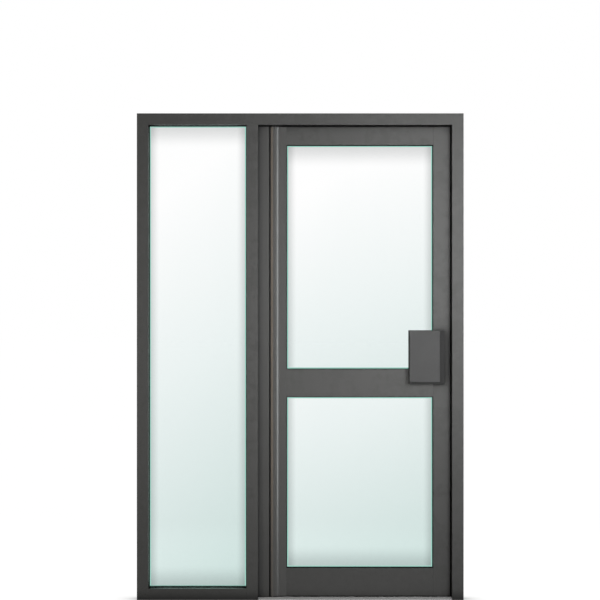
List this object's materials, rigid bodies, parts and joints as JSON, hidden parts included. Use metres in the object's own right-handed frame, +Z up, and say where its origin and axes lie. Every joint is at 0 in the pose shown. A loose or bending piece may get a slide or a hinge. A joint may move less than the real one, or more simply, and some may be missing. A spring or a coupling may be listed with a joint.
{
  "type": "glass door with frame and sidelight",
  "caption": "Framed glass pivot door with a fixed glass sidelight, round finger-safe pivot edge, mid rail, pull plates and a low threshold.",
  "frame": {"origin": "on the floor, at the middle of the frame's width and depth", "axes": "+X right along the wall seen from the front, +Y from the front to the back, +Z up"},
  "size_m": [1.45, 0.1264, 2.16],
  "materials": {
    "dark_coated_aluminium": "satin",
    "pull_plate_coating": "satin",
    "pull_base_coating": "satin",
    "clear_glass": "polished",
    "black_gasket": "matte",
    "black_pile": "matte",
    "mill_aluminium": "brushed",
    "zinc_steel": "satin",
    "black_plastic": "matte"
  },
  "bodies": {
    "frame": {"bottom_pivot_base": "zinc_steel", "closer_body": "zinc_steel", "finger_guard_post": "dark_coated_aluminium", "frame_corner_cleats": "mill_aluminium", "frame_screws": "zinc_steel", "frame_shear_blocks": "mill_aluminium", "head": "dark_coated_aluminium", "head_filler": "dark_coated_aluminium", "left_jamb": "dark_coated_aluminium", "mullion": "dark_coated_aluminium", "post_seals": "black_pile", "right_jamb": "dark_coated_aluminium", "right_jamb_filler": "dark_coated_aluminium", "sidelight_bead_bottom": "dark_coated_aluminium", "sidelight_bead_left": "dark_coated_aluminium", "sidelight_bead_right": "dark_coated_aluminium", "sidelight_bead_top": "dark_coated_aluminium", "sidelight_gasket_back": "black_gasket", "sidelight_gasket_front": "black_gasket", "sidelight_glass": "clear_glass", "sidelight_setting_blocks": "black_plastic", "sidelight_sill": "dark_coated_aluminium", "threshold": "mill_aluminium"},
    "leaf": {"pivot_stile": "dark_coated_aluminium", "lock_stile": "dark_coated_aluminium", "top_rail": "dark_coated_aluminium", "mid_rail": "dark_coated_aluminium", "bottom_rail": "dark_coated_aluminium", "upper_glass": "clear_glass", "lower_glass": "clear_glass", "upper_gasket_front": "black_gasket", "upper_gasket_back": "black_gasket", "lower_gasket_front": "black_gasket", "lower_gasket_back": "black_gasket", "upper_bead_left": "dark_coated_aluminium", "upper_bead_right": "dark_coated_aluminium", "upper_bead_top": "dark_coated_aluminium", "upper_bead_bottom": "dark_coated_aluminium", "lower_bead_left": "dark_coated_aluminium", "lower_bead_right": "dark_coated_aluminium", "lower_bead_top": "dark_coated_aluminium", "lower_bead_bottom": "dark_coated_aluminium", "leaf_setting_blocks": "black_plastic", "leaf_shear_blocks": "mill_aluminium", "front_pull_plate": "pull_plate_coating", "front_pull_base": "pull_base_coating", "rear_pull_plate": "pull_plate_coating", "rear_pull_base": "pull_base_coating", "pull_studs": "zinc_steel", "pull_plate_screws": "zinc_steel", "closer_spindle": "zinc_steel", "top_pivot_block": "zinc_steel", "bottom_pivot_block": "zinc_steel", "pivot_bush": "black_plastic", "top_spacer_ring": "black_plastic", "thrust_washer": "black_plastic", "lock_edge_brush": "black_pile", "top_brush": "black_pile", "bottom_brush": "black_pile", "lock_stile_caps": "black_plastic"}
  },
  "joints": [
    {"name": "door_swing", "type": "hinge", "parent": "frame", "child": "leaf", "pos_m": [-0.1155, 0, 0], "axis": [0, 0, 1], "range_deg": [-90, 90], "stiffness_Nm_per_rad": 20}
  ]
}
